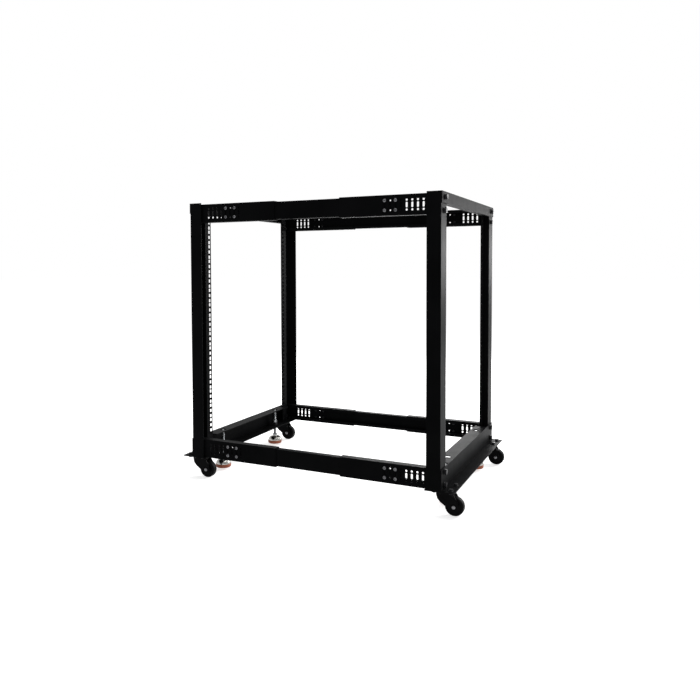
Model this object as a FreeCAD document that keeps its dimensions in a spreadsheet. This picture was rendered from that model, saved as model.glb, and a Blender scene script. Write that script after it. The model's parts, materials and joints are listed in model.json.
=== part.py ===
import FreeCAD, Part
import math
import os
import Sketcher
from FreeCAD import Vector

# Four post open frame equipment rack, fifteen rack units tall.
# Millimetres.  X runs across the width, Y along the depth with the front at -Y,
# Z up from the floor the wheels stand on.  The origin is the middle of the footprint,
# front wheels included.

doc = FreeCAD.newDocument("open_frame_rack")

SIZES = [
    # name, value, what it is
    ("depth", 765.0, "outer depth over the post faces"),
    ("stand_height", 68.0, "floor to the underside of the base plates"),
    ("seat", 0.3, "gap left between bolted faces"),
    ("gauge", 2.0, "sheet thickness of posts, rails and top beams"),
    ("heavy_gauge", 2.5, "sheet thickness of base members and caster plates"),
    ("post_face", 48.0, "width of the post's outer face strip"),
    ("post_side", 38.0, "depth of the post's side wall"),
    ("recess", 18.0, "set-back of the mounting flange behind the face strip"),
    ("flange_width", 27.0, "width of the mounting flange"),
    ("clear_opening", 450.0, "opening between the mounting flanges"),
    ("hole_edge", 7.55, "middle of a hole column from the opening's edge"),
    ("unit_pitch", 44.45, "one rack unit"),
    ("unit_count", 15.0, "rack units"),
    ("unit_clear", 7.0, "base member to the bottom of the lowest unit"),
    ("head_room", 31.75, "top of the highest unit to the top of the posts"),
    ("square_hole", 9.5, "side of a cage nut hole"),
    ("bolt_hole", 9.0, "clearance hole of a frame bolt"),
    ("bolt_inset", 28.0, "frame bolts from the outer side face"),
    ("bolt_spread", 34.0, "height between the two bolts of a rail end"),
    ("top_bolt_drop", 13.7, "highest frame bolts below the top of the posts"),
    ("beam_height", 30.0, "height of the top cross beams"),
    ("beam_flange", 18.0, "depth of the top cross beams' flanges"),
    ("rail_height", 54.0, "height of the end sections of a side rail"),
    ("rail_inset", 7.0, "rail face behind the outer side face of the posts"),
    ("rail_flange", 22.0, "depth of the rail's folded edges"),
    ("rail_lip", 10.0, "height of the rail's return lips"),
    ("lip_setback", 24.0, "return lips stop short of the bolted end"),
    ("rail_tab", 33.0, "width of the tab that bolts to the post"),
    ("tab_relief", 1.0, "tab clear of the folded edges"),
    ("end_section", 280.2, "length of the end sections"),
    ("middle_inset", 104.5, "end of the sliding middle section behind the post faces"),
    ("slide_gap", 0.3, "play between a middle section and its end sections"),
    ("column_pitch", 15.0, "spacing of the adjustment columns"),
    ("front_inset", 48.0, "outermost front adjustment column behind the post faces"),
    ("rear_left_inset", 60.4, "the same at the rear on the left"),
    ("rear_right_inset", 49.7, "the same at the rear on the right"),
    ("column_count", 8.0, "adjustment columns in an end section"),
    ("dot_hole", 5.6, "round adjustment holes"),
    ("screw_hole", 4.2, "round holes in the middle sections"),
    ("dot_spread", 25.4, "height between the two round holes of a column"),
    ("slot_height", 15.0, "height of the slot between them"),
    ("base_height", 57.5, "height of the base members"),
    ("base_flange", 38.5, "depth of the base members' upper flange"),
    ("lip_reach", 36.0, "base lip beyond the post faces"),
    ("sole_reach", 42.5, "base plate inward from the post faces"),
    ("foot_edge", 134.0, "leveling foot from the outer side face"),
    ("foot_inset", 19.0, "leveling foot behind the post faces"),
    ("access_hole", 20.0, "opening above each leveling foot"),
    ("stud", 10.0, "leveling foot stud diameter"),
    ("stud_play", 0.4, "stud clearance all round in the base plate"),
    ("stud_top", 124.5, "floor to the top of the stud"),
    ("foot_lift", 7.0, "floor to the rubber pad"),
    ("pad_size", 49.0, "rubber pad diameter"),
    ("pad_height", 9.0, "rubber pad height"),
    ("dome_size", 47.0, "metal foot diameter"),
    ("dome_height", 14.0, "metal foot height"),
    ("dome_rim", 1.0, "upright rim of the metal foot"),
    ("shoulder_size", 34.0, "metal foot diameter half way up"),
    ("collar_size", 16.0, "collar on the metal foot"),
    ("collar_height", 5.0, "height of the collar above the metal foot"),
    ("caster_edge", 43.0, "caster pin from the outer side face"),
    ("caster_reach", 0.5, "caster pin in front of the post faces"),
    ("caster_plate_long", 68.0, "caster plate across"),
    ("caster_plate_wide", 60.0, "caster plate front to back"),
    ("caster_bolts_long", 50.0, "caster bolt spacing across"),
    ("caster_bolts_wide", 44.0, "caster bolt spacing front to back"),
    ("caster_bolt_hole", 6.6, "caster bolt holes"),
    ("race_size", 42.0, "diameter of the swivel race"),
    ("race_height", 6.0, "height of the swivel race"),
    ("race_gap", 0.5, "running gap above the swivel race"),
    ("king_pin", 10.0, "swivel pin diameter"),
    ("pin_play", 0.3, "play round pins and axles"),
    ("trail", 26.0, "wheel axle behind the swivel pin"),
    ("wheel_size", 50.0, "wheel diameter"),
    ("wheel_width", 20.0, "wheel width"),
    ("wheel_chamfer", 3.0, "rounding of the tread"),
    ("hub_size", 20.0, "wheel hub diameter"),
    ("hub_step", 1.5, "set-back of the wheel's disc behind its hub"),
    ("axle", 8.0, "axle diameter"),
    ("fork_gauge", 2.0, "fork sheet thickness"),
    ("fork_gap", 2.0, "gap between wheel and fork cheek"),
    ("cheek_low", 11.0, "fork cheek round the axle"),
]

sheet = doc.addObject("Spreadsheet::Sheet", "Sizes")
for row, (name, value, meaning) in enumerate(SIZES, start=1):
    sheet.set("A%d" % row, name)
    sheet.set("B%d" % row, str(value))
    sheet.set("C%d" % row, meaning)
    sheet.setAlias("B%d" % row, name)
doc.recompute()

NAMES = [name for name, _, _ in SIZES]

# Lengths that follow from the sizes above.
DERIVED = {
    "width": "( clear_opening + 2 * ( flange_width + post_face ) )",
    "hole_column": "( clear_opening / 2 + hole_edge )",
    "plate_top": "( stand_height + heavy_gauge )",
    "base_top": "( stand_height + base_height )",
    "first_unit": "( base_top + unit_clear )",
    "frame_top": "( first_unit + unit_count * unit_pitch + head_room )",
    "upper_rail": "( frame_top - top_bolt_drop - bolt_spread / 2 )",
    "lower_rail": "( plate_top + seat + rail_height / 2 )",
    "bolt_side": "( width / 2 - bolt_inset )",
    "rail_stop": "( depth / 2 - gauge - seat )",
    "front_column": "( depth / 2 - front_inset )",
    "rear_left_column": "( depth / 2 - rear_left_inset )",
    "rear_right_column": "( depth / 2 - rear_right_inset )",
    "foot_side": "( width / 2 - foot_edge )",
    "foot_middle": "( depth / 2 - foot_inset )",
    "caster_side": "( width / 2 - caster_edge )",
    "caster_middle": "( depth / 2 + caster_reach )",
    # The front wheels reach further out than the base lip, so the frame stands back by
    # half of that to keep the origin in the middle of the whole footprint.
    "set_back": "( ( trail + wheel_size / 2 + caster_reach - lip_reach ) / 2 )",
}


def words_of(text):
    out = []
    for word in text.replace("(", " ( ").replace(")", " ) ").split():
        out += words_of(DERIVED[word]) if word in DERIVED else [word]
    return out


def size(text):
    """Turn a formula written in plain size names into a spreadsheet expression."""
    return " ".join("Sizes." + word if word in NAMES else word for word in words_of(text))


def bind(thing, prop, formula):
    thing.setExpression(prop, size(formula))


# ---------------------------------------------------------------- building blocks

parts = []


def new_body(label):
    body = doc.addObject("PartDesign::Body", label)
    body.Label = label
    parts.append(body)
    return body


def origin_piece(body, role):
    return [o for o in body.Origin.OriginFeatures if o.Role == role][0]


def new_sketch(body, name, plane, offset=None):
    """Sketch on one of the body's own origin planes, moved along its normal by offset."""
    sketch = body.newObject("Sketcher::SketchObject", body.Label + "_" + name)
    sketch.AttachmentSupport = [(origin_piece(body, plane + "_Plane"), "")]
    sketch.MapMode = "FlatFace"
    if offset:
        bind(sketch, "AttachmentOffset.Base.z", offset)
    return sketch


def value_of(formula):
    """Plain arithmetic on + - * / and brackets, used only for starting positions."""
    table = {name: value for name, value, _ in SIZES}
    words = words_of(formula)

    def expression(pos):
        left, pos = term(pos)
        while pos < len(words) and words[pos] in "+-":
            sign = 1.0 if words[pos] == "+" else -1.0
            right, pos = term(pos + 1)
            left += sign * right
        return left, pos

    def term(pos):
        left, pos = factor(pos)
        while pos < len(words) and words[pos] in "*/":
            operator = words[pos]
            right, pos = factor(pos + 1)
            left = left * right if operator == "*" else left / right
        return left, pos

    def factor(pos):
        word = words[pos]
        if word == "(":
            inner, pos = expression(pos + 1)
            return inner, pos + 1
        if word == "-":
            inner, pos = factor(pos + 1)
            return -inner, pos
        return (table[word] if word in table else float(word)), pos + 1

    return expression(0)[0]


def polygon(sketch, corners):
    """Closed outline whose corners are held at pairs of formulas."""
    spots = [Vector(value_of(x), value_of(y), 0) for x, y in corners]
    first = sketch.GeometryCount
    count = len(corners)
    for i in range(count):
        sketch.addGeometry(Part.LineSegment(spots[i], spots[(i + 1) % count]), False)
    for i in range(count):
        sketch.addConstraint(
            Sketcher.Constraint("Coincident", first + i, 2, first + (i + 1) % count, 1))
    for i, (x, y) in enumerate(corners):
        pin_signed(sketch, first + i, 1, x, y, spots[i])
    return sketch


def pin_signed(sketch, geo, pos, x, y, spot):
    """Hold a point at two formulas, measured from the sketch origin."""
    for kind, formula, start in (("DistanceX", x, spot.x), ("DistanceY", y, spot.y)):
        index = sketch.addConstraint(Sketcher.Constraint(kind, -1, 1, geo, pos, start))
        bind(sketch, "Constraints[%d]" % index, formula)


def faceted(sketch, x, y, diameter, sides, inside=False):
    """Round outline in straight sides: outside the true circle for a hole, inside for a pin."""
    reach = 0.5 if inside else 0.5 / math.cos(math.pi / sides)
    corners = []
    for i in range(sides):
        angle = 2 * math.pi * (i + 0.5) / sides
        corners.append(tuple(
            "%s %s %.6f * ( %s )" % (spot, "+" if way >= 0 else "-", abs(way) * reach, diameter)
            for spot, way in ((x, math.cos(angle)), (y, math.sin(angle)))))
    return polygon(sketch, corners)


def box_outline(sketch, x_low, x_high, y_low, y_high):
    return polygon(sketch, [(x_low, y_low), (x_high, y_low), (x_high, y_high), (x_low, y_high)])


def pad(body, name, sketch, length, symmetric=False, reversed_way=False):
    feature = body.newObject("PartDesign::Pad", body.Label + "_" + name)
    feature.Profile = sketch
    if symmetric:
        feature.SideType = "Symmetric"
    feature.Reversed = reversed_way
    bind(feature, "Length", length)
    sketch.Visibility = False
    body.Tip = feature
    return feature


def cut_through(body, name, sketch):
    """Cut the outline right through the body, both ways from its plane."""
    feature = body.newObject("PartDesign::Pocket", body.Label + "_" + name)
    feature.Profile = sketch
    feature.Type = "ThroughAll"
    feature.SideType = "Two sides"
    feature.Type2 = "ThroughAll"
    sketch.Visibility = False
    body.Tip = feature
    return feature


def cut_middle(body, name, sketch, length):
    """Cut the outline over a length that is centred on its plane."""
    feature = body.newObject("PartDesign::Pocket", body.Label + "_" + name)
    feature.Profile = sketch
    feature.SideType = "Symmetric"
    bind(feature, "Length", length)
    sketch.Visibility = False
    body.Tip = feature
    return feature


def repeat(body, name, feature, axis, length, count, backwards=False):
    pattern = body.newObject("PartDesign::LinearPattern", body.Label + "_" + name)
    pattern.Originals = [feature]
    pattern.Direction = (origin_piece(body, axis + "_Axis"), [""])
    pattern.Reversed = backwards
    bind(pattern, "Length", length)
    bind(pattern, "Occurrences", count)
    body.Tip = pattern
    return pattern


def bevel(body, name, feature, axis, length):
    """Bevel round the two end faces that lie furthest along an axis."""
    doc.recompute()
    spots = [getattr(face.CenterOfMass, axis) for face in feature.Shape.Faces]
    ends = [spots.index(max(spots)), spots.index(min(spots))]
    band = body.newObject("PartDesign::Chamfer", body.Label + "_" + name)
    band.Base = (feature, ["Face%d" % (i + 1) for i in ends])
    bind(band, "Size", length)
    body.Tip = band
    return band


def turn_down(body, name, sketch, length, sides):
    """Take the outline off every side of a faceted round piece, about its upright axis."""
    feature = cut_middle(body, name + "_side", sketch, length)
    pattern = body.newObject("PartDesign::PolarPattern", body.Label + "_" + name)
    pattern.Originals = [feature]
    pattern.Axis = (origin_piece(body, "Z_Axis"), [""])
    pattern.Angle = 360
    pattern.Occurrences = sides
    body.Tip = pattern
    return pattern


def cut_in(body, name, sketch, length, reversed_way=False):
    """Cut the outline to a depth, away from its plane."""
    feature = body.newObject("PartDesign::Pocket", body.Label + "_" + name)
    feature.Profile = sketch
    feature.Reversed = reversed_way
    bind(feature, "Length", length)
    sketch.Visibility = False
    body.Tip = feature
    return feature


def place(thing, x, y, z):
    bind(thing, "Placement.Base.x", x)
    bind(thing, "Placement.Base.y", y)
    bind(thing, "Placement.Base.z", z)


def settle(piece, x="0", y="0", z="0"):
    """Put a finished piece at a spot given from the middle of the four posts."""
    place(piece, x, y + " + set_back", z)


CORNERS = [("front", "left", -1, -1), ("front", "right", 1, -1),
           ("rear", "left", -1, 1), ("rear", "right", 1, 1)]


def signed(sign, formula):
    return "%d * ( %s )" % (sign, formula)


# ---------------------------------------------------------------- posts

def make_post(end, side, sx, sy):
    """Folded post: side wall, face strip, set-back and mounting flange with square holes."""
    body = new_body("post_%s_%s" % (end, side))
    settle(body)
    half_w, half_d = "width / 2", "depth / 2"
    edge = [  # from the middle outwards, as distances from the rack's centre lines
        (half_w, half_d + " - post_side"),
        (half_w, half_d),
        (half_w + " - post_face", half_d),
        (half_w + " - post_face", half_d + " - recess"),
        ("clear_opening / 2", half_d + " - recess"),
        ("clear_opening / 2", half_d + " - recess - gauge"),
        (half_w + " - post_face + gauge", half_d + " - recess - gauge"),
        (half_w + " - post_face + gauge", half_d + " - gauge"),
        (half_w + " - gauge", half_d + " - gauge"),
        (half_w + " - gauge", half_d + " - post_side"),
    ]
    outline = new_sketch(body, "section", "XY", "plate_top + seat")
    polygon(outline, [(signed(sx, x), signed(sy, y)) for x, y in edge])
    wall = pad(body, "wall", outline, "frame_top - plate_top - seat")

    holes = new_sketch(body, "unit_holes", "XZ")
    middle = signed(sx, "hole_column")
    for fraction in ("6.35", "22.225", "38.1"):
        z = "first_unit + %s / 44.45 * unit_pitch" % fraction
        box_outline(holes, middle + " - square_hole / 2", middle + " + square_hole / 2",
                    z + " - square_hole / 2", z + " + square_hole / 2")
    one_unit = cut_through(body, "one_unit", holes)
    repeat(body, "all_units", one_unit, "Z", "unit_pitch * ( unit_count - 1 )", "unit_count")

    bolts = new_sketch(body, "bolt_holes", "XZ")
    for middle_line in ("upper_rail", "lower_rail"):
        for way in ("+", "-"):
            faceted(bolts, signed(sx, "bolt_side"),
                    "%s %s bolt_spread / 2" % (middle_line, way), "bolt_hole", 6)
    cut_through(body, "bolts", bolts)
    return body


# ---------------------------------------------------------------- cross members

def make_beam(end, sy):
    """Top cross beam, a shallow channel lapped over the post faces."""
    body = new_body("top_beam_%s" % end)
    settle(body)
    face = "depth / 2 + seat"
    web = new_sketch(body, "web_section", "YZ")
    box_outline(web, signed(sy, face), signed(sy, face + " + gauge"),
                "frame_top - beam_height", "frame_top")
    pad(body, "web", web, "width", symmetric=True)
    for name, low in (("upper", "frame_top - gauge"), ("lower", "frame_top - beam_height")):
        flange = new_sketch(body, name + "_flange_section", "YZ")
        box_outline(flange, signed(sy, face + " + gauge - beam_flange"),
                    signed(sy, face + " + gauge / 2"), low, low + " + gauge")
        pad(body, name + "_flange", flange, "width - 2 * post_face - 2 * seat", symmetric=True)
    bolts = new_sketch(body, "bolt_holes", "XZ")
    for sx in (-1, 1):
        faceted(bolts, signed(sx, "bolt_side"), "frame_top - top_bolt_drop", "bolt_hole", 6)
    cut_through(body, "bolts", bolts)
    return body


def make_base(end, sy):
    """Base cross member, a web with an upper flange that stands on the base plate."""
    body = new_body("base_channel_%s" % end)
    settle(body)
    face = "depth / 2 + seat"
    top = "base_top"
    web = new_sketch(body, "web_section", "YZ")
    box_outline(web, signed(sy, face), signed(sy, face + " + heavy_gauge"),
                "plate_top", top)
    pad(body, "web", web, "width", symmetric=True)
    flange = new_sketch(body, "flange_section", "YZ")
    box_outline(flange, signed(sy, face + " + heavy_gauge - base_flange"),
                signed(sy, face + " + heavy_gauge / 2"), top + " - heavy_gauge", top)
    pad(body, "flange", flange, "clear_opening - 2 * seat", symmetric=True)
    access = new_sketch(body, "access_holes", "XY")
    bolts = new_sketch(body, "bolt_holes", "XZ")
    for sx in (-1, 1):
        faceted(access, signed(sx, "foot_side"), signed(sy, "foot_middle"), "access_hole", 12)
        for way in ("+", "-"):
            faceted(bolts, signed(sx, "bolt_side"), "lower_rail %s bolt_spread / 2" % way,
                    "bolt_hole", 6)
    cut_through(body, "access", access)
    cut_through(body, "bolts", bolts)
    return body


def make_base_plate(end, sy):
    """Flat plate under the base member: outward lip, caster and leveling foot holes."""
    body = new_body("base_plate_%s" % end)
    settle(body)
    outline = new_sketch(body, "outline", "XY", "stand_height")
    box_outline(outline, "0 - width / 2", "width / 2",
                signed(sy, "depth / 2 - sole_reach"), signed(sy, "depth / 2 + lip_reach"))
    pad(body, "plate", outline, "heavy_gauge")
    holes = new_sketch(body, "holes", "XY")
    for sx in (-1, 1):
        faceted(holes, signed(sx, "foot_side"), signed(sy, "foot_middle"),
                "stud + 2 * stud_play", 8)
        for ax in (-1, 1):
            for ay in (-1, 1):
                faceted(holes,
                        signed(sx, "caster_side") + " + " + signed(ax, "caster_bolts_long / 2"),
                        signed(sy, "caster_middle") + " + " + signed(ay, "caster_bolts_wide / 2"),
                        "caster_bolt_hole", 6)
    cut_through(body, "drilling", holes)
    return body


# ---------------------------------------------------------------- side rails

def column_word(side, sy):
    """Name of the outermost adjustment column at one end of a side rail."""
    return "front_column" if sy < 0 else "rear_%s_column" % side


def lipped_channel(sketch, sx, outer, inner, low, high, lip_low, lip_high):
    """Channel open to the inside, its folded edges ending in upright return lips."""
    lip = inner + " + gauge"
    web = outer + " - gauge"
    polygon(sketch, [(signed(sx, x), z) for x, z in (
        (outer, low), (outer, high), (inner, high), (inner, lip_high), (lip, lip_high),
        (lip, high + " - gauge"), (web, high + " - gauge"), (web, low + " + gauge"),
        (lip, low + " + gauge"), (lip, lip_low), (inner, lip_low), (inner, low))])


def make_end_rail(level, side, end, sx, sy, middle_line):
    """End section of a side rail: channel, bolting tab and columns of adjustment holes."""
    body = new_body("%s_rail_%s_%s" % (level, side, end))
    settle(body)
    outer = "width / 2 - rail_inset"
    inner = outer + " - rail_flange"
    low = middle_line + " - rail_height / 2"
    high = middle_line + " + rail_height / 2"
    section = new_sketch(body, "section", "XZ")
    bind(section, "AttachmentOffset.Base.z", signed(-sy, "rail_stop"))
    lipped_channel(section, sx, outer, inner, low, high, low + " + rail_lip",
                   high + " - rail_lip")
    pad(body, "channel", section, "end_section", reversed_way=(sy < 0))
    room = new_sketch(body, "bolt_room", "XZ")
    bind(room, "AttachmentOffset.Base.z", signed(-sy, "rail_stop"))
    box_outline(room, signed(sx, inner + " - 1"), signed(sx, inner + " + gauge"),
                low + " + gauge", high + " - gauge")
    cut_in(body, "lips_cut_back", room, "lip_setback", reversed_way=(sy > 0))
    tab = new_sketch(body, "tab_outline", "XZ")
    bind(tab, "AttachmentOffset.Base.z", signed(-sy, "rail_stop"))
    box_outline(tab, signed(sx, outer + " - rail_tab"), signed(sx, outer + " - gauge / 2"),
                low + " + gauge + tab_relief", high + " - gauge - tab_relief")
    pad(body, "tab", tab, "gauge", reversed_way=(sy < 0))

    column = new_sketch(body, "column", "YZ")
    y = signed(sy, column_word(side, sy))
    for way in ("+", "-"):
        faceted(column, y, "%s %s dot_spread / 2" % (middle_line, way), "dot_hole", 6)
    slot(column, y, middle_line, "dot_hole", "slot_height")
    one = cut_through(body, "one_column", column)
    repeat(body, "all_columns", one, "Y", "column_pitch * ( column_count - 1 )",
           "column_count", backwards=(sy > 0))
    bolts = new_sketch(body, "bolt_holes", "XZ")
    bind(bolts, "AttachmentOffset.Base.z", signed(-sy, "rail_stop"))
    for way in ("+", "-"):
        faceted(bolts, signed(sx, "bolt_side"),
                "%s %s bolt_spread / 2" % (middle_line, way), "bolt_hole", 6)
    cut_in(body, "bolts", bolts, "2 * gauge", reversed_way=(sy > 0))
    return body


def slot(sketch, x, y, wide, tall):
    """Upright slot with six sides, its ends sloped to the true round ones."""
    edge, end = "( %s / 2 )" % wide, "( %s / 2 )" % tall
    low = "( %s / 2 - 0.34 * %s )" % (tall, wide)
    return polygon(sketch, [
        (x + " + " + edge, y + " - " + low), (x + " + " + edge, y + " + " + low),
        (x, y + " + " + end), (x + " - " + edge, y + " + " + low),
        (x + " - " + edge, y + " - " + low), (x, y + " - " + end)])


def make_middle_rail(level, side, sx, middle_line, rear_steps):
    """Middle section of a side rail, a smaller channel that slides in the end sections."""
    body = new_body("%s_rail_%s_middle" % (level, side))
    settle(body)
    outer = "width / 2 - rail_inset - gauge - slide_gap"
    inner = "width / 2 - rail_inset - rail_flange + gauge + slide_gap"
    low = middle_line + " - rail_height / 2 + gauge + slide_gap"
    high = middle_line + " + rail_height / 2 - gauge - slide_gap"
    section = new_sketch(body, "section", "XZ")
    lipped_channel(section, sx, outer, inner, low, high,
                   middle_line + " - rail_height / 2 + rail_lip",
                   middle_line + " + rail_height / 2 - rail_lip")
    pad(body, "channel", section, "depth - 2 * middle_inset", symmetric=True)
    dots = new_sketch(body, "dots", "YZ")
    for sy, steps in ((-1, 6), (1, rear_steps)):
        for way in ("+", "-"):
            y = column_word(side, sy) + " - %d * column_pitch" % steps
            faceted(dots, signed(sy, y), "%s %s dot_spread / 2" % (middle_line, way),
                    "screw_hole", 6)
    cut_through(body, "drilling", dots)
    return body


# ---------------------------------------------------------------- leveling feet

def make_foot(end, side, sx, sy):
    """Threaded stud on a domed metal foot, screwed through the base plate."""
    body = new_body("foot_%s_%s" % (end, side))
    settle(body, signed(sx, "foot_side"), signed(sy, "foot_middle"))
    dome_low = "foot_lift + pad_height"
    dome_high = dome_low + " + dome_height"
    disc = new_sketch(body, "disc_outline", "XY", dome_low)
    faceted(disc, "0", "0", "dome_size", 12)
    pad(body, "disc", disc, "dome_height")
    waste = new_sketch(body, "dome_waste", "XZ")
    polygon(waste, [
        ("dome_size / 2 + dome_rim", dome_low + " + dome_rim"),
        ("dome_size / 2", dome_low + " + dome_rim"),
        ("shoulder_size / 2", dome_low + " + dome_height / 2"),
        ("collar_size / 2", dome_high), ("collar_size / 2", dome_high + " + dome_rim"),
        ("dome_size / 2 + dome_rim", dome_high + " + dome_rim")])
    turn_down(body, "dome", waste, "dome_size", 12)
    collar = new_sketch(body, "collar_outline", "XY", dome_high)
    faceted(collar, "0", "0", "collar_size", 12)
    pad(body, "collar", collar, "collar_height")
    rod = new_sketch(body, "stud_outline", "XY", dome_high)
    faceted(rod, "0", "0", "stud", 8, inside=True)
    pad(body, "stud", rod, "stud_top - foot_lift - pad_height - dome_height")

    rubber = new_body("foot_%s_%s_pad" % (end, side))
    settle(rubber, signed(sx, "foot_side"), signed(sy, "foot_middle"))
    disc = new_sketch(rubber, "outline", "XY", "foot_lift")
    faceted(disc, "0", "0", "pad_size", 16)
    pad(rubber, "disc", disc, "pad_height")


# ---------------------------------------------------------------- casters

def make_caster(end, side, sx, sy):
    """Swivel caster: bolted plate with its pin, fork with its axle, and the wheel."""
    name = "%s_%s" % (end, side)
    pin_x = signed(sx, "caster_side")
    pin_y = signed(sy, "caster_middle")
    axle_z = "wheel_size / 2"

    plate = new_body("caster_plate_" + name)
    settle(plate, pin_x, pin_y, "0")
    plate_low = "stand_height - seat - heavy_gauge"
    outline = new_sketch(plate, "outline", "XY", plate_low)
    box_outline(outline, "0 - caster_plate_long / 2", "caster_plate_long / 2",
                "0 - caster_plate_wide / 2", "caster_plate_wide / 2")
    pad(plate, "plate", outline, "heavy_gauge")
    pin = new_sketch(plate, "pin_outline", "XY", plate_low + " + heavy_gauge / 2")
    faceted(pin, "0", "0", "king_pin", 8, inside=True)
    pad(plate, "pin", pin, "heavy_gauge / 2 + race_gap + race_height + fork_gauge + 1",
        reversed_way=True)
    holes = new_sketch(plate, "holes", "XY")
    for ax in (-1, 1):
        for ay in (-1, 1):
            faceted(holes, signed(ax, "caster_bolts_long / 2"),
                    signed(ay, "caster_bolts_wide / 2"), "caster_bolt_hole", 6)
    cut_through(plate, "drilling", holes)

    fork = new_body("caster_fork_" + name)
    settle(fork, pin_x, pin_y, "0")
    top = plate_low + " - race_gap"
    crown = top + " - race_height"
    cheek = new_sketch(fork, "cheek_outline", "YZ")
    polygon(cheek, [
        ("race_size / 2 - 1", crown), ("0 - race_size / 2 - 3", crown),
        ("0 - trail - cheek_low + 1", axle_z + " + cheek_low + 3"),
        ("0 - trail - cheek_low", axle_z + " - 3"),
        ("0 - trail - cheek_low / 2", axle_z + " - cheek_low"),
        ("0 - trail + cheek_low / 2", axle_z + " - cheek_low"),
        ("0 - trail + cheek_low", axle_z + " - 6"), ("0 - 3", axle_z + " + 1"),
        ("9", axle_z + " + 9"), ("17", axle_z + " + 18"),
        ("race_size / 2 - 1", crown + " - 6")])
    pad(fork, "cheeks", cheek, "wheel_width + 2 * fork_gap + 2 * fork_gauge", symmetric=True)
    room = new_sketch(fork, "wheel_room", "YZ")
    box_outline(room, "0 - trail - wheel_size", "wheel_size", "0", crown + " - fork_gauge")
    cut_middle(fork, "room", room, "wheel_width + 2 * fork_gap")
    race = new_sketch(fork, "race_outline", "XY", crown + " - fork_gauge / 2")
    faceted(race, "0", "0", "race_size", 12)
    pad(fork, "race", race, "race_height + fork_gauge / 2")
    bore = new_sketch(fork, "pin_bore", "XY")
    faceted(bore, "0", "0", "king_pin + 2 * pin_play", 8)
    cut_through(fork, "pin_hole", bore)
    axle = new_sketch(fork, "axle_outline", "YZ")
    faceted(axle, "0 - trail", axle_z, "axle", 8, inside=True)
    pad(fork, "axle", axle, "wheel_width + 2 * fork_gap + 2 * fork_gauge + 1", symmetric=True)

    wheel = new_body("caster_wheel_" + name)
    settle(wheel, pin_x, pin_y + " - trail", axle_z)
    side_x = "wheel_width / 2"
    tread = new_sketch(wheel, "tread_outline", "YZ")
    faceted(tread, "0", "0", "wheel_size", 16)
    tyre = pad(wheel, "tyre", tread, "wheel_width", symmetric=True)
    bevel(wheel, "shoulders", tyre, "x", "wheel_chamfer")
    for way, plane in (("left", "0 - " + side_x), ("right", side_x)):
        ring = new_sketch(wheel, "ring_" + way, "YZ", plane)
        faceted(ring, "0", "0", "wheel_size - 2 * wheel_chamfer - 4", 16)
        faceted(ring, "0", "0", "hub_size", 8)
        cut_in(wheel, "disc_" + way, ring, "hub_step", reversed_way=(way == "left"))
    bore = new_sketch(wheel, "axle_bore", "YZ")
    faceted(bore, "0", "0", "axle + 2 * pin_play", 8)
    cut_through(wheel, "axle_hole", bore)


# ---------------------------------------------------------------- assembly

for end, side, sx, sy in CORNERS:
    make_post(end, side, sx, sy)
for end, sy in (("front", -1), ("rear", 1)):
    make_beam(end, sy)
    make_base(end, sy)
    make_base_plate(end, sy)
for level, middle_line in (("upper", "upper_rail"), ("lower", "lower_rail")):
    for side, sx in (("left", -1), ("right", 1)):
        make_end_rail(level, side, "front", sx, -1, middle_line)
        make_end_rail(level, side, "rear", sx, 1, middle_line)
        make_middle_rail(level, side, sx, middle_line, 5 if side == "left" else 6)
for end, side, sx, sy in CORNERS:
    make_foot(end, side, sx, sy)
    make_caster(end, side, sx, sy)

doc.recompute()

# ---------------------------------------------------------------- checks and export

for thing in doc.Objects:
    if "Invalid" in thing.State or "Error" in thing.State:
        raise RuntimeError("%s is %s" % (thing.Label, thing.State))

os.makedirs("parts", exist_ok=True)
for piece in parts:
    shape = piece.Shape
    if shape.isNull() or not shape.isValid() or shape.Volume <= 0:
        raise RuntimeError("bad shape: " + piece.Label)
    shape.exportStep(os.path.join("parts", piece.Label + ".step"))
    print("%-28s volume %10.1f  solids %d" % (piece.Label, shape.Volume, len(shape.Solids)))
print(len(parts), "pieces")
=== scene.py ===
import json
import math

import bmesh
import bpy
from mathutils import Matrix, Vector


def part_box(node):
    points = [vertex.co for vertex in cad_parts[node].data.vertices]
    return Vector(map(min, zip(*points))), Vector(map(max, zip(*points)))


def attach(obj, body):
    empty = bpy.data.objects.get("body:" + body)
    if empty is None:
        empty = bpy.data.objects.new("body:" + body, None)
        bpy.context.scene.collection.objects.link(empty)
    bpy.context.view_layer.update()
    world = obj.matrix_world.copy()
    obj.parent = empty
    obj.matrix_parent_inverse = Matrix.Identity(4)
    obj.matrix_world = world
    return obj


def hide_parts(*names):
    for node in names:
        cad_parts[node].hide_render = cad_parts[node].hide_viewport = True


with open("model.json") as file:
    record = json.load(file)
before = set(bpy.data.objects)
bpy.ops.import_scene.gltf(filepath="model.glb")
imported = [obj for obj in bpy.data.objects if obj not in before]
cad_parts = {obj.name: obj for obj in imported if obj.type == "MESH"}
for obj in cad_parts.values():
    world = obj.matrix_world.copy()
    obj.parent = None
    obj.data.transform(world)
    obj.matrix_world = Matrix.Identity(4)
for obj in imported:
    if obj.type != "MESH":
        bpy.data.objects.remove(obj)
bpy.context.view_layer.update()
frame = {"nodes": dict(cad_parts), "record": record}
scene = bpy.context.scene

# ------------------------------------------------------------------ places from the frame

# end, side, and the side's and the end's sign along X and Y
CORNERS = [("front", "left", -1, -1), ("front", "right", 1, -1),
           ("rear", "left", -1, 1), ("rear", "right", 1, 1)]
ENDS = [("front", -1), ("rear", 1)]
UP = (0, 0, 1)
DOWN = (0, 0, -1)


def mid(part, axis):
    low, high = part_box(part)
    return (low[axis] + high[axis]) / 2


def face_of(part, axis, sign):
    """Where the part ends along an axis, on the side that the sign gives."""
    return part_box(part)[0 if sign < 0 else 1][axis]


# ------------------------------------------------------------------ material kit

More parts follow.
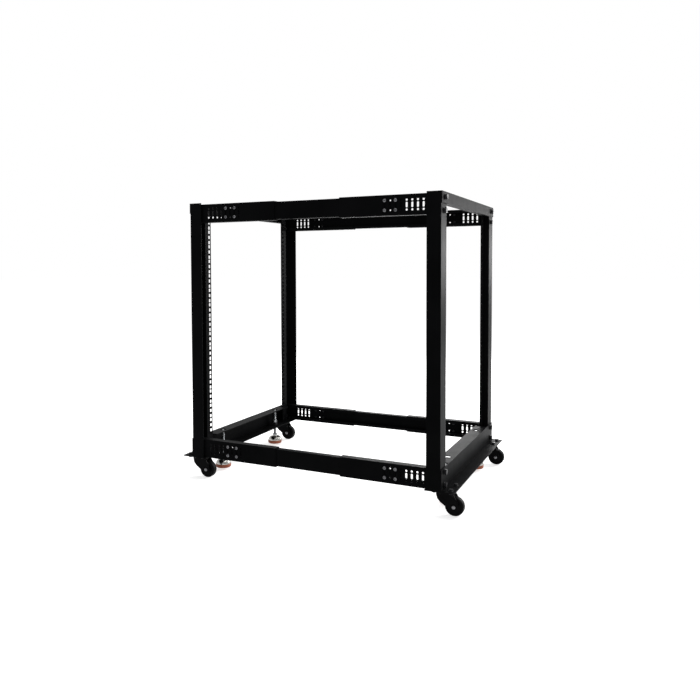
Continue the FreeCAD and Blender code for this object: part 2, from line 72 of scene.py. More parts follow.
BEVEL_SAMPLES = 6
EDGE_START = 0.98  # cosine between the bevelled and the true normal where an edge begins
EDGE_FULL = 0.75


def empty_tree(owner):
    """The node tree of a material or a world, without its default nodes."""
    owner.use_nodes = True
    owner.node_tree.nodes.clear()
    return owner.node_tree


def new_material(name):
    mat = bpy.data.materials.new(name)
    tree = empty_tree(mat)
    out = tree.nodes.new("ShaderNodeOutputMaterial")
    shader = tree.nodes.new("ShaderNodeBsdfPrincipled")
    tree.links.new(shader.outputs["BSDF"], out.inputs["Surface"])
    return mat, tree, shader


def node(tree, kind, **values):
    made = tree.nodes.new(kind)
    for key, value in values.items():
        setattr(made, key, value)
    return made


def noise(tree, coord, scale, detail, roughness, stretch=None):
    made = node(tree, "ShaderNodeTexNoise")
    made.inputs["Scale"].default_value = scale
    made.inputs["Detail"].default_value = detail
    made.inputs["Roughness"].default_value = roughness
    source = coord.outputs["Object"]
    if stretch:
        mapping = node(tree, "ShaderNodeMapping")
        mapping.inputs["Scale"].default_value = stretch
        tree.links.new(source, mapping.inputs["Vector"])
        source = mapping.outputs["Vector"]
    tree.links.new(source, made.inputs["Vector"])
    return made.outputs["Fac"]


def remap(tree, value, low, high, out_low, out_high):
    made = node(tree, "ShaderNodeMapRange")
    for key, number in (("From Min", low), ("From Max", high),
                        ("To Min", out_low), ("To Max", out_high)):
        made.inputs[key].default_value = number
    tree.links.new(value, made.inputs["Value"])
    return made.outputs["Result"]


def blend_colour(tree, factor, first, second):
    made = node(tree, "ShaderNodeMix", data_type="RGBA")
    # the Mix node has a factor, two floats and two vectors before its colours A and B
    for index, colour in ((6, first), (7, second)):
        if isinstance(colour, tuple):
            made.inputs[index].default_value = colour
        else:
            tree.links.new(colour, made.inputs[index])
    tree.links.new(factor, made.inputs[0])
    return made.outputs[2]


def multiply(tree, first, second):
    made = node(tree, "ShaderNodeMath", operation="MULTIPLY")
    tree.links.new(first, made.inputs[0])
    if isinstance(second, float):
        made.inputs[1].default_value = second
    else:
        tree.links.new(second, made.inputs[1])
    return made.outputs[0]


def rounded_normal(tree, radius):
    bevel = node(tree, "ShaderNodeBevel", samples=BEVEL_SAMPLES)
    bevel.inputs["Radius"].default_value = radius
    return bevel.outputs["Normal"]


def edge_mask(tree, radius):
    """Where the surface turns an edge: the bevelled normal leaves the true one."""
    rounded = rounded_normal(tree, radius)
    geometry = node(tree, "ShaderNodeNewGeometry")
    dot = node(tree, "ShaderNodeVectorMath", operation="DOT_PRODUCT")
    tree.links.new(rounded, dot.inputs[0])
    tree.links.new(geometry.outputs["Normal"], dot.inputs[1])
    return remap(tree, dot.outputs["Value"], EDGE_START, EDGE_FULL, 0.0, 1.0)


def bumped(tree, shader, height, strength, distance, normal):
    bump = node(tree, "ShaderNodeBump")
    bump.inputs["Strength"].default_value = strength
    bump.inputs["Distance"].default_value = distance
    tree.links.new(height, bump.inputs["Height"])
    tree.links.new(normal, bump.inputs["Normal"])
    tree.links.new(bump.outputs["Normal"], shader.inputs["Normal"])


def powder_coat(name, dark, light, worn, rough, grain, grain_bump, edge_radius, tint, ior):
    """Powder coat: fine grain, faint cloudiness in tone and gloss, lighter rubbed edges."""
    mat, tree, shader = new_material(name)
    coord = node(tree, "ShaderNodeTexCoord")
    cloud = noise(tree, coord, scale=7.0, detail=3.0, roughness=0.55)
    speck = noise(tree, coord, scale=grain, detail=2.0, roughness=0.6)
    smear = noise(tree, coord, scale=32.0, detail=5.0, roughness=0.6, stretch=(1.0, 1.0, 0.35))
    tone = blend_colour(tree, remap(tree, cloud, 0.35, 0.65, 0.0, 1.0), dark, light)
    tone = blend_colour(tree, remap(tree, speck, 0.42, 0.75, 0.0, 0.5), tone, light)
    rub = multiply(tree, edge_mask(tree, edge_radius), remap(tree, smear, 0.40, 0.62, 0.0, 1.0))
    tone = blend_colour(tree, multiply(tree, rub, 0.55), tone, worn)
    tree.links.new(tone, shader.inputs["Base Color"])
    gloss = remap(tree, smear, 0.3, 0.7, rough - 0.03, rough + 0.03)
    tree.links.new(gloss, shader.inputs["Roughness"])
    shader.inputs["Specular Tint"].default_value = tint
    shader.inputs["IOR"].default_value = ior
    bumped(tree, shader, speck, grain_bump, 0.00012, rounded_normal(tree, edge_radius * 0.7))
    return mat


def bare_metal(name, bright, dull, rough, scratch_scale, stretch):
    """Plated steel: brushed variation in gloss, faint tarnish in tone."""
    mat, tree, shader = new_material(name)
    coord = node(tree, "ShaderNodeTexCoord")
    brushed = noise(tree, coord, scale=scratch_scale, detail=3.0, roughness=0.7, stretch=stretch)
    tarnish = noise(tree, coord, scale=60.0, detail=4.0, roughness=0.6)
    tone = blend_colour(tree, remap(tree, tarnish, 0.42, 0.68, 0.0, 1.0), bright, dull)
    tree.links.new(tone, shader.inputs["Base Color"])
    shader.inputs["Metallic"].default_value = 1.0
    gloss = remap(tree, brushed, 0.3, 0.7, rough - 0.05, rough + 0.09)
    tree.links.new(gloss, shader.inputs["Roughness"])
    bumped(tree, shader, brushed, 0.12, 0.00006, rounded_normal(tree, 0.0003))
    return mat


def moulded(name, dark, light, rough, grain, bump_strength, spec):
    """Moulded nylon or rubber: soft mottling, scuffed edges, fine texture."""
    mat, tree, shader = new_material(name)
    coord = node(tree, "ShaderNodeTexCoord")
    mottle = noise(tree, coord, scale=45.0, detail=5.0, roughness=0.6)
    fine = noise(tree, coord, scale=grain, detail=2.0, roughness=0.6)
    tone = blend_colour(tree, remap(tree, mottle, 0.38, 0.66, 0.0, 1.0), dark, light)
    scuff = multiply(tree, edge_mask(tree, 0.0006), remap(tree, mottle, 0.45, 0.6, 0.0, 0.5))
    tone = blend_colour(tree, scuff, tone, light)
    tree.links.new(tone, shader.inputs["Base Color"])
    gloss = remap(tree, mottle, 0.3, 0.7, rough - 0.05, rough + 0.08)
    tree.links.new(gloss, shader.inputs["Roughness"])
    shader.inputs["Specular IOR Level"].default_value = spec
    bumped(tree, shader, fine, bump_strength, 0.0001, rounded_normal(tree, 0.0004))
    return mat


# ------------------------------------------------------------------ materials

COAT = powder_coat(
    "frame_coat", dark=(0.0026, 0.0027, 0.0029, 1), light=(0.0048, 0.0049, 0.0053, 1),
    worn=(0.04, 0.04, 0.042, 1), rough=0.42, grain=1500.0, grain_bump=0.20,
    edge_radius=0.0005, tint=(0.6, 0.6, 0.62, 1), ior=1.07)
CASTER = powder_coat(
    "caster_steel", dark=(0.0022, 0.0022, 0.0024, 1), light=(0.0050, 0.0050, 0.0054, 1),
    worn=(0.05, 0.05, 0.052, 1), rough=0.36, grain=1100.0, grain_bump=0.12,
    edge_radius=0.0005, tint=(0.5, 0.5, 0.51, 1), ior=1.12)
BLACK_BOLT = powder_coat(
    "black_bolt", dark=(0.010, 0.010, 0.011, 1), light=(0.022, 0.022, 0.024, 1),
    worn=(0.16, 0.16, 0.165, 1), rough=0.34, grain=1800.0, grain_bump=0.10,
    edge_radius=0.0004, tint=(0.6, 0.6, 0.61, 1), ior=1.25)
FOOT = bare_metal(
    "foot_metal", bright=(0.42, 0.415, 0.395, 1), dull=(0.28, 0.275, 0.26, 1),
    rough=0.17, scratch_scale=700.0, stretch=(0.2, 0.2, 1.0))
STUD = bare_metal(
    "foot_stud", bright=(0.27, 0.28, 0.29, 1), dull=(0.17, 0.175, 0.18, 1),
    rough=0.24, scratch_scale=900.0, stretch=(1.0, 1.0, 0.4))
RUBBER = moulded(
    "foot_rubber", dark=(0.30, 0.078, 0.036, 1), light=(0.42, 0.130, 0.070, 1),
    rough=0.5, grain=1400.0, bump_strength=0.2, spec=0.3)
TREAD = moulded(
    "wheel_tread", dark=(0.0022, 0.0022, 0.0025, 1), light=(0.0050, 0.0050, 0.0054, 1),
    rough=0.46, grain=1300.0, bump_strength=0.15, spec=0.04)
SCREW = bare_metal(
    "rail_screw", bright=(0.17, 0.17, 0.178, 1), dull=(0.09, 0.09, 0.096, 1),
    rough=0.27, scratch_scale=900.0, stretch=(1.0, 0.25, 1.0))

# ------------------------------------------------------------------ mesh kit

HEXAGON_POINTS = 36  # points around a hexagon head, six to a flat


def finish_piece(name, bm, body, mat, smooth_angle=35.0):
    bmesh.ops.remove_doubles(bm, verts=bm.verts, dist=1e-7)
    bmesh.ops.recalc_face_normals(bm, faces=bm.faces)
    mesh = bpy.data.meshes.new(name)
    bm.to_mesh(mesh)
    bm.free()
    piece = bpy.data.objects.new(name, mesh)
    scene.collection.objects.link(piece)
    for face in mesh.polygons:
        face.use_smooth = True
    mesh.set_sharp_from_angle(angle=math.radians(smooth_angle))
    mesh.materials.append(mat)
    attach(piece, body)
    return piece


def seat(centre, axis):
    """Placement whose origin is the centre and whose Z is the given axis."""
    z = Vector(axis).normalized()
    helper = Vector((0, 0, 1)) if abs(z.z) < 0.9 else Vector((1, 0, 0))
    x = helper.cross(z).normalized()
    y = z.cross(x)
    return Matrix.Translation(centre) @ Matrix((x, y, z)).transposed().to_4x4()


def circle(bm, place, radius, height, sides):
    """Vertices around the placement's Z; a single one where the radius is zero."""
    if radius < 1e-9:
        return [bm.verts.new(place @ Vector((0, 0, height)))]
    angles = [2 * math.pi * i / sides for i in range(sides)]
    return [bm.verts.new(place @ Vector((radius * math.cos(a), radius * math.sin(a), height)))
            for a in angles]


def skin(bm, rings):
    """Faces from each ring to the next; a ring of one vertex closes to a point."""
    for a, b in zip(rings, rings[1:]):
        sides = max(len(a), len(b))
        for i in range(sides):
            j = (i + 1) % sides
            if len(a) == 1:
                bm.faces.new((a[0], b[i], b[j]))
            elif len(b) == 1:
                bm.faces.new((a[i], a[j], b[0]))
            else:
                bm.faces.new((a[i], a[j], b[j], b[i]))


def turned(bm, profile, centre, axis, sides):
    """Surface of revolution from (radius, height) pairs; zero radius closes an end."""
    place = seat(centre, axis)
    skin(bm, [circle(bm, place, radius, height, sides) for radius, height in profile])


def hexagonal(bm, across, height, centre, axis, twist, crown=0.0006, bore=0.0):
    """Hexagon head with its corners turned off and an inset face, or a nut with a bore."""
    place = seat(centre, axis)

    def ring(radius_of, z):
        verts = []
        for i in range(HEXAGON_POINTS):
            angle = twist + 2 * math.pi * i / HEXAGON_POINTS
            phase = (2 * math.pi * i / HEXAGON_POINTS) % (math.pi / 3) - math.pi / 6
            flat = across / 2 / math.cos(phase)
            radius = radius_of(flat)
            verts.append(bm.verts.new(place @ Vector((
                radius * math.cos(angle), radius * math.sin(angle), z))))
        return verts

    rings = [ring(lambda flat: min(flat, across * 0.515), 0.0),
             ring(lambda flat: flat, crown * 0.6),
             ring(lambda flat: flat, height - crown),
             ring(lambda flat: min(flat, across * 0.505), height - crown * 0.25),
             ring(lambda flat: across * 0.45, height)]
    if bore:
        rings.append(ring(lambda flat: bore + crown * 0.8, height))
        rings.append(ring(lambda flat: bore, height - crown * 0.8))
        rings.append(ring(lambda flat: bore, 0.0))
        skin(bm, rings + rings[:1])
    else:
        skin(bm, rings)
        bm.faces.new(rings[-1])
        bm.faces.new(list(reversed(rings[0])))


def bolt_end(bm, radius, height, tip_radius, tip_height, centre, axis, sides):
    """Plain end of a bolt that stands out of its nut, with a chamfered tip."""
    turned(bm, [(0.0, 0.0), (radius, 0.0), (radius, height), (tip_radius, tip_height),
                (0.0, tip_height)], centre, axis, sides)


def washer(bm, radius, thick, centre, axis):
    turned(bm, [(0.0, 0.0), (radius - 0.0003, 0.0), (radius, 0.0003), (radius, thick - 0.0003),
                (radius - 0.0004, thick), (0.0, thick)], centre, axis, 32)


def hex_bolt(bm, centre, axis, across, height, washer_radius, washer_thick, twist):
    """Hexagon bolt head sitting on a washer; centre is on the clamped face."""
    axis = Vector(axis).normalized()
    centre = Vector(centre)
    washer(bm, washer_radius, washer_thick, centre, axis)
    hexagonal(bm, across, height, centre + axis * washer_thick, axis, twist)


def cross_recess(bm, place, radius, height, last):
    """Cross recess in a screw head, its rim joined to the head's last ring by a fan."""
    arm = radius * 0.49
    thin = radius * 0.19
    floor_height = height - height * 0.85
    taper = 0.3
    outline = []
    quarter = [(arm, -thin), (arm, thin), (thin, thin)]
    for _ in range(4):
        outline += quarter
        quarter = [(-y, x) for x, y in quarter]
    rim = [bm.verts.new(place @ Vector((x, y, height))) for x, y in outline]
    sunk = [bm.verts.new(place @ Vector((x * taper, y * taper, floor_height)))
            for x, y in outline]
    skin(bm, [rim, sunk])
    bm.faces.new(sunk)

    full = 2 * math.pi
    angles = [math.atan2(y, x) % full for x, y in outline]
    order = sorted(range(len(outline)), key=lambda k: angles[k])
    near = []
    for i in range(len(last)):
        angle = full * i / len(last)
        near.append(min(order, key=lambda k: abs(
            (angles[k] - angle + math.pi) % full - math.pi)))
    for i in range(len(last)):
        j = (i + 1) % len(last)
        k = near[i]
        bm.faces.new((last[i], last[j], rim[k]))
        while k != near[j]:
            following = order[(order.index(k) + 1) % len(order)]
            bm.faces.new((last[j], rim[following], rim[k]))
            k = following


def pan_screw(bm, centre, axis, radius, height, twist):
    """Pan head screw with a cross recess."""
    place = seat(centre, axis) @ Matrix.Rotation(twist, 4, "Z")
    # shares of the head's radius and height, up the side and over the rounded shoulder
    levels = [(0.0, 0.0), (0.97, 0.0), (1.0, 0.12), (0.97, 0.38), (0.90, 0.62), (0.79, 0.81),
              (0.65, 0.94), (0.52, 1.0)]
    rings = [circle(bm, place, radius * r, height * z, 32) for r, z in levels]
    skin(bm, rings)
    cross_recess(bm, place, radius, height, rings[-1])


def thread_profile(radius, low, high, pitch, depth):
    """Turns of a thread as plain rings: root, flank, crest and flank of each."""
    points = []
    turns = int((high - low) / pitch)
    for i in range(turns):
        z = low + i * pitch
        points += [(radius - depth, z), (radius - depth * 0.9, z + pitch * 0.12),
                   (radius, z + pitch * 0.45), (radius, z + pitch * 0.6),
                   (radius - depth * 0.9, z + pitch * 0.94)]
    return points


# ------------------------------------------------------------------ frame fasteners

BOLT_SIDE = 0.272  # bolt columns from the rack's middle plane
BOLT_RISE = 0.017  # bolts above and below the middle line of a side rail
FRAME_BOLT_ACROSS = 0.013
FRAME_BOLT_HEAD = 0.0053
FRAME_WASHER_RADIUS = 0.0080
FRAME_WASHER_THICK = 0.0014
FRAME_NUT_HEIGHT = 0.0065
RAIL_GAUGE = 0.002


def bolt_heights(level):
    centre = mid("%s_rail_left_front" % level, 2)
    return [centre + BOLT_RISE, centre - BOLT_RISE]


def frame_bolts():
    """Bolt heads on the outer faces, each turned a little differently."""
    bm = bmesh.new()
    for end, sy in ENDS:
        beam_face = face_of("top_beam_" + end, 1, sy)
        base_face = face_of("base_channel_" + end, 1, sy)
        post_face = face_of("post_%s_left" % end, 1, sy)
        heights = bolt_heights("upper") + bolt_heights("lower")
        faces = [beam_face, post_face, base_face, base_face]
        for sx in (-1, 1):
            for index, (z, face) in enumerate(zip(heights, faces)):
                hex_bolt(bm, (sx * BOLT_SIDE, face, z), (0, sy, 0), FRAME_BOLT_ACROSS,
                         FRAME_BOLT_HEAD, FRAME_WASHER_RADIUS, FRAME_WASHER_THICK,
                         0.35 + 0.41 * index + 0.2 * sx)
    finish_piece("frame_bolts", bm, "frame", BLACK_BOLT)


def frame_nuts():
    """Nuts and bolt ends inside, on the tabs of the side rails."""
    bm = bmesh.new()
    for end, sy in ENDS:
        tab_face = face_of("upper_rail_left_" + end, 1, sy) - sy * RAIL_GAUGE
        for sx in (-1, 1):
            for index, z in enumerate(bolt_heights("upper") + bolt_heights("lower")):
                centre = Vector((sx * BOLT_SIDE, tab_face, z))
                hexagonal(bm, FRAME_BOLT_ACROSS, FRAME_NUT_HEIGHT, centre, (0, -sy, 0),
                          0.2 + 0.5 * index, bore=0.0041)
                bolt_end(bm, 0.0040, 0.0085, 0.0034, 0.0092, centre, (0, -sy, 0), 20)
    finish_piece("frame_nuts", bm, "frame", BLACK_BOLT)


frame_bolts()
frame_nuts()

# ------------------------------------------------------------------ rail screws

SCREW_ROW = 0.0127  # screw rows above and below the rail's middle line
SCREW_STEP = 0.030  # the inner screws from the outer ones, towards the rack's middle
OUTER_SCREWS = {"left": (-0.2595, 0.2621), "right": (-0.2595, 0.2578)}
SCREW_RADIUS = 0.0048
SCREW_HEIGHT = 0.0030
RAIL_NUT_ACROSS = 0.0080
RAIL_NUT_HEIGHT = 0.0032
BOTH_WALLS = 0.0043  # walls of the end and middle sections and the play between them


def rail_screws():
    """Screws through the overlap of two sections, and their nuts on the inner side."""
    screws = bmesh.new()
    nuts = bmesh.new()
    count = 0
    middle = (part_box("post_front_left")[0][1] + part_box("post_rear_left")[1][1]) / 2
    for level in ("upper", "lower"):
        for side, sx in (("left", -1), ("right", 1)):
            rail = "%s_rail_%s_front" % (level, side)
            face = face_of(rail, 0, sx)
            inner_face = sx * (abs(face) - BOTH_WALLS)
            centre_z = mid(rail, 2)
            columns = []
            for outer in OUTER_SCREWS[side]:
                columns += [outer, outer - math.copysign(SCREW_STEP, outer)]
            for y in columns:
                for row in (-1, 1):
                    count += 1
                    z = centre_z + row * SCREW_ROW
                    pan_screw(screws, Vector((face, middle + y, z)), (sx, 0, 0),
                              SCREW_RADIUS, SCREW_HEIGHT, 0.7 * count)
                    spot = Vector((inner_face, middle + y, z))
                    hexagonal(nuts, RAIL_NUT_ACROSS, RAIL_NUT_HEIGHT, spot, (-sx, 0, 0),
                              0.3 + 0.9 * count, 0.0005, bore=0.0024)
                    bolt_end(nuts, 0.0023, 0.0044, 0.0018, 0.0050, spot, (-sx, 0, 0), 16)
    finish_piece("rail_screws", screws, "frame", SCREW)
    finish_piece("rail_nuts", nuts, "frame", BLACK_BOLT)


rail_screws()

# ------------------------------------------------------------------ casters

CASTER_BOLT_LONG = 0.025  # caster bolts from the plate's middle, along X and along Y
CASTER_BOLT_WIDE = 0.022
CASTER_BOLT_ACROSS = 0.010
CASTER_BOLT_HEAD = 0.0040
CASTER_WASHER_RADIUS = 0.0062
CASTER_WASHER_THICK = 0.0010
CASTER_NUT_HEIGHT = 0.0034
CASTER_PLATE_THICK = 0.0025
WHEEL_RADIUS = 0.025
HUB_BORE = 0.0043
CHEEK = 0.0140  # outer face of a fork cheek from the wheel's middle plane


def caster_bolts(bm, q, sx, sy, base_top):
    """Bolts of one caster plate: heads on the base plate, nuts under the caster plate."""
    cx = mid("caster_plate_" + q, 0)
    cy = mid("caster_plate_" + q, 1)
    under = face_of("caster_plate_" + q, 2, 1) - CASTER_PLATE_THICK
    for ax in (-1, 1):
        for ay in (-1, 1):
            x = cx + ax * CASTER_BOLT_LONG
            y = cy + ay * CASTER_BOLT_WIDE
            twist = 0.4 + 0.7 * ax + 0.3 * ay + 0.5 * sx
            # the innermost bolt has no head, as the post's mounting flange stands in its place
            if not (ax == -sx and ay == -sy):
                hex_bolt(bm, (x, y, base_top), UP, CASTER_BOLT_ACROSS, CASTER_BOLT_HEAD,
                         CASTER_WASHER_RADIUS, CASTER_WASHER_THICK, twist)
            hexagonal(bm, CASTER_BOLT_ACROSS, CASTER_NUT_HEIGHT, Vector((x, y, under)), DOWN,
                      twist, 0.0004)


def wheel_profile(half):
    """Closed outline of a wheel: hub, dished web, rim and rounded tread, then mirrored."""
    r = WHEEL_RADIUS
    outline = [(HUB_BORE, half), (0.0098, half), (0.0102, half - 0.0004),
               (0.0106, half - 0.0022), (0.0125, half - 0.0026), (0.0170, half - 0.0024),
               (0.0186, half - 0.0018), (0.0192, half - 0.0004), (0.0198, half),
               (0.0216, half), (0.0224, half - 0.0003), (0.0236, half - 0.0012),
               (0.0245, half - 0.0026), (0.0249, half - 0.0042), (r, half - 0.0060),
               (r, 0.0006), (r - 0.0002, 0.0)]
    mirrored = [(radius, -x) for radius, x in reversed(outline[:-1])]
    return outline + mirrored + outline[:1]


def wheel_and_axle(q):
    wheel = "caster_wheel_" + q
    half = (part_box(wheel)[1][0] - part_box(wheel)[0][0]) / 2
    wx = mid(wheel, 0)
    wy = mid(wheel, 1)
    bm = bmesh.new()
    turned(bm, wheel_profile(half), (wx, wy, WHEEL_RADIUS), (1, 0, 0), 72)
    piece = finish_piece("wheel_" + q, bm, "wheel_" + q, TREAD, 40)
    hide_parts(wheel)
    bm = bmesh.new()
    head = [(0.0, 0.0), (0.0050, 0.0), (0.0051, 0.0006), (0.0049, 0.0013), (0.0042, 0.0022),
            (0.0030, 0.0028), (0.0016, 0.0031), (0.0, 0.0032)]
    for side in (-1, 1):
        turned(bm, head, (wx + side * CHEEK, wy, WHEEL_RADIUS), (side, 0, 0), 32)
    finish_piece("axle_bolt_" + q, bm, "caster_" + q, SCREW)


# ------------------------------------------------------------------ leveling feet

CAP_RADIUS = 0.0235
CAP_EDGE = 0.0030  # height of the cap's upright rim, where the dome begins
DOME_TOP_RADIUS = 0.0082
DOME_RISE = 0.0132
DOME_STEPS = 14
STUD_RADIUS = 0.0045
STUD_BOTTOM = 0.0170  # below the neck's lower face, so that the stud stands in the cap
THREAD_START = 0.0192
THREAD_PITCH = 0.0015
THREAD_DEPTH = 0.0005
NECK_ACROSS = 0.0135
NECK_HEIGHT = 0.0055
NECK_BOTTOM = 0.0189
RING_LIP = 0.0020  # how far the rubber ring grips up the cap's rim
WELD_NUT_ACROSS = 0.0170
WELD_NUT_HEIGHT = 0.0110
LOCK_NUT_ACROSS = 0.0155
LOCK_NUT_HEIGHT = 0.0075


def cap_profile():
    """Rim, convex dome and collar of a leveling foot's metal cap."""
    points = [(0.0, 0.0002), (0.0229, 0.0), (0.0234, 0.0004), (CAP_RADIUS, 0.0010),
              (CAP_RADIUS, CAP_EDGE)]
    for i in range(1, DOME_STEPS + 1):
        t = math.pi / 2 * i / DOME_STEPS
        points.append((DOME_TOP_RADIUS + (CAP_RADIUS - DOME_TOP_RADIUS) * math.cos(t),
                       CAP_EDGE + DOME_RISE * math.sin(t)))
    return points + [(0.0080, 0.0166), (0.0080, 0.0184), (0.0075, 0.0190), (0.0, 0.0190)]


def stud_profile(length):
    """Threaded stud with a chamfered tip, from inside the cap to the given length."""
    thread = thread_profile(STUD_RADIUS, THREAD_START, length - 0.0016, THREAD_PITCH,
                            THREAD_DEPTH)
    tip = [(0.0038, length - 0.0012), (0.0033, length), (0.0, length)]
    return [(0.0, STUD_BOTTOM), (0.0040, STUD_BOTTOM)] + thread + tip


def ring_profile(thick):
    """Rubber ring: tapered side, and a lip that grips the rim of the cap."""
    lip = thick + RING_LIP
    return [(0.0, 0.0004), (0.0190, 0.0004), (0.0193, 0.0), (0.0218, 0.0), (0.0228, 0.0005),
            (0.0238, 0.0022), (0.0243, 0.0038), (0.0245, 0.0055), (0.0245, lip - 0.0008),
            (0.0243, lip - 0.0002), (0.0240, lip), (0.0236, lip - 0.0002),
            (0.0236, thick), (0.0, thick)]


def leveling_foot(q):
    """Domed cap, threaded stud with its hexagon neck, and rubber ring of one foot."""
    foot = "foot_" + q
    pad = foot + "_pad"
    body = "leveler_" + q
    fx = mid(foot, 0)
    fy = mid(foot, 1)
    low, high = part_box(foot)
    bm = bmesh.new()
    turned(bm, cap_profile(), (fx, fy, low[2]), UP, 48)
    cap = finish_piece("leveler_" + q, bm, body, FOOT, 32)
    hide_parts(foot)
    bm = bmesh.new()
    turned(bm, stud_profile(high[2] - low[2]), (fx, fy, low[2]), UP, 40)
    hexagonal(bm, NECK_ACROSS, NECK_HEIGHT, Vector((fx, fy, low[2] + NECK_BOTTOM)), UP, 0.4,
              bore=0.0044)
    finish_piece("stud_" + q, bm, body, STUD, 32)
    pad_low, pad_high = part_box(pad)
    bm = bmesh.new()
    turned(bm, ring_profile(pad_high[2] - pad_low[2]), (fx, fy, pad_low[2]), UP, 64)
    ring = finish_piece("rubber_" + q, bm, body, RUBBER, 40)
    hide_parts(pad)


def foot_nuts(weld_nuts, lock_nuts, q, sx, base_top):
    """Weld nut on the base plate and the lock nut on top of it, around one stud."""
    fx = mid("foot_" + q, 0)
    fy = mid("foot_" + q, 1)
    hexagonal(weld_nuts, WELD_NUT_ACROSS, WELD_NUT_HEIGHT, Vector((fx, fy, base_top)), UP,
              0.2, 0.0008, bore=0.0054)
    hexagonal(lock_nuts, LOCK_NUT_ACROSS, LOCK_NUT_HEIGHT,
              Vector((fx, fy, base_top + WELD_NUT_HEIGHT)), UP, 0.5 + sx * 0.3, 0.0009,
              bore=0.0051)


plate_bolts = bmesh.new()
leveling_nuts = bmesh.new()
weld_nuts = bmesh.new()
for end, side, sx, sy in CORNERS:
    q = "%s_%s" % (end, side)
    base_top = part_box("base_plate_" + end)[1][2]
    caster_bolts(plate_bolts, q, sx, sy, base_top)
    wheel_and_axle(q)
    leveling_foot(q)
    foot_nuts(weld_nuts, leveling_nuts, q, sx, base_top)
finish_piece("caster_bolts", plate_bolts, "frame", BLACK_BOLT)
finish_piece("leveling_nuts", leveling_nuts, "frame", STUD)
finish_piece("weld_nuts", weld_nuts, "frame", BLACK_BOLT)

# ------------------------------------------------------------------ looks of the CAD nodes

slots = {item["node"]: item["material_slot"] for item in frame["record"]["subparts"]}
looks = {"frame_coat": COAT, "caster_steel": CASTER, "wheel_tread": TREAD,
         "foot_metal": FOOT, "foot_rubber": RUBBER}
for name, obj in frame["nodes"].items():
    mat = looks[slots[name]]
    if not obj.material_slots:
        obj.data.materials.append(mat)
    for item in obj.material_slots:
        item.material = mat

# ------------------------------------------------------------------ floor and world

FLOOR_REACH = 30.0
FLOOR_LEVEL = -0.0002  # a hair under the wheels, so that no two faces share a plane
FLOOR_COLOUR = (0.80, 0.80, 0.80, 1)
FLOOR_GLOW = 0.68  # seen by the camera and in reflections only, it lifts the floor to white
WORLD_LIGHT = 0.42
WORLD_SEEN = 1.0


def add_ray_types(tree):
    """One where a camera, glossy or transmission ray looks, and zero elsewhere."""
    path = node(tree, "ShaderNodeLightPath")
    total = path.outputs["Is Camera Ray"]
    for key in ("Is Glossy Ray", "Is Transmission Ray"):
        added = node(tree, "ShaderNodeMath", operation="MAXIMUM")
        tree.links.new(total, added.inputs[0])
        tree.links.new(path.outputs[key], added.inputs[1])
        total = added.outputs[0]
    return total


def paper():
    """Matt white floor that catches the shadow and looks as pale as the backdrop."""
    mat = bpy.data.materials.new("floor_paper")
    tree = empty_tree(mat)
    out = node(tree, "ShaderNodeOutputMaterial")
    diffuse = node(tree, "ShaderNodeBsdfDiffuse")
    diffuse.inputs["Color"].default_value = FLOOR_COLOUR
    glow = node(tree, "ShaderNodeEmission")
    tree.links.new(multiply(tree, add_ray_types(tree), FLOOR_GLOW), glow.inputs["Strength"])
    both = node(tree, "ShaderNodeAddShader")
    tree.links.new(diffuse.outputs[0], both.inputs[0])
    tree.links.new(glow.outputs[0], both.inputs[1])
    tree.links.new(both.outputs[0], out.inputs["Surface"])
    return mat


def lay_floor():
    mesh = bpy.data.meshes.new("floor")
    corners = [(x * FLOOR_REACH, y * FLOOR_REACH, FLOOR_LEVEL)
               for x, y in ((-1, -1), (1, -1), (1, 1), (-1, 1))]
    mesh.from_pydata(corners, [], [(0, 1, 2, 3)])
    floor = bpy.data.objects.new("floor", mesh)
    scene.collection.objects.link(floor)
    mesh.materials.append(paper())


def make_world():
    world = bpy.data.worlds.new("studio")
    scene.world = world
    tree = empty_tree(world)
    out = node(tree, "ShaderNodeOutputWorld")
    sky = node(tree, "ShaderNodeBackground")
    sky.inputs["Color"].default_value = (1, 1, 1, 1)
    level = remap(tree, add_ray_types(tree), 0.0, 1.0, WORLD_LIGHT, WORLD_SEEN)
    tree.links.new(level, sky.inputs["Strength"])
    tree.links.new(sky.outputs[0], out.inputs["Surface"])


lay_floor()
make_world()

# ------------------------------------------------------------------ lamps


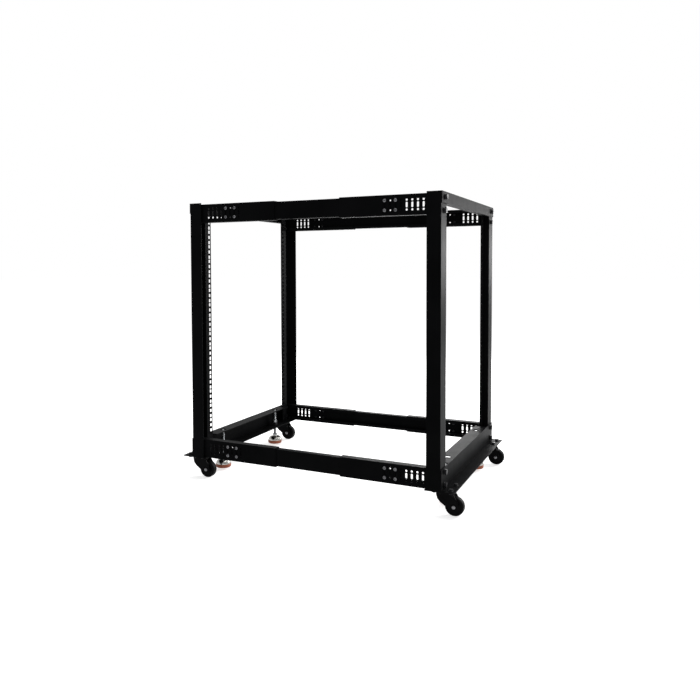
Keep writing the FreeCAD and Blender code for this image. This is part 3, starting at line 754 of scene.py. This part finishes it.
def soft_box(name, place, target, wide, tall, watts):
    """Rectangular lamp that the camera doesn't see."""
    data = bpy.data.lights.new(name, "AREA")
    data.shape = "RECTANGLE"
    data.size = wide
    data.size_y = tall
    data.energy = watts
    lamp = bpy.data.objects.new(name, data)
    lamp.location = place
    lamp.rotation_euler = (Vector(target) - Vector(place)).to_track_quat("-Z", "Y").to_euler()
    lamp.visible_camera = False
    scene.collection.objects.link(lamp)


# three beyond the rack, as the camera sees it, and one above
soft_box("key", place=(2.6, -2.1, 1.9), target=(0.1, -0.2, 0.5), wide=1.4, tall=1.4, watts=95.0)
soft_box("top", place=(0.2, 0.1, 3.0), target=(0, 0, 0.4), wide=2.2, tall=2.2, watts=45.0)
soft_box("low", place=(2.6, -1.36, 0.726), target=(-0.28, -0.38, 0.667), wide=0.75, tall=0.30,
         watts=16.0)
soft_box("back", place=(2.6, 0.35, 0.85), target=(-0.1, -0.2, 0.12), wide=1.6, tall=0.5,
         watts=23.0)

# ------------------------------------------------------------------ camera

EYE = Vector((-1.99059, -0.85721, 0.64371))
YAW = math.radians(63.736)  # from +Y towards +X
PITCH = math.radians(-2.382)
ROLL = math.radians(-0.226)
SENSOR = 36.0  # millimetres
LENS = 35.53817  # millimetres
SHIFT_X = 0.0498857  # shares of the frame's width, for the photograph's framing
SHIFT_Y = -0.0788

ahead = Vector((math.sin(YAW) * math.cos(PITCH), math.cos(YAW) * math.cos(PITCH),
                math.sin(PITCH)))
level_right = Vector((math.cos(YAW), -math.sin(YAW), 0.0))
level_up = level_right.cross(ahead)
right = level_right * math.cos(ROLL) + level_up * math.sin(ROLL)
up = level_up * math.cos(ROLL) - level_right * math.sin(ROLL)
camera_data = bpy.data.cameras.new("camera")
camera_data.sensor_width = SENSOR
camera_data.lens = LENS
camera_data.shift_x = SHIFT_X
camera_data.shift_y = SHIFT_Y
camera_data.clip_start = 0.05
camera_data.clip_end = 200.0
camera = bpy.data.objects.new("camera", camera_data)
camera.matrix_world = (Matrix.Translation(EYE)
                       @ Matrix((right, up, -ahead)).transposed().to_4x4())
scene.collection.objects.link(camera)
scene.camera = camera

scene.view_settings.view_transform = "Standard"
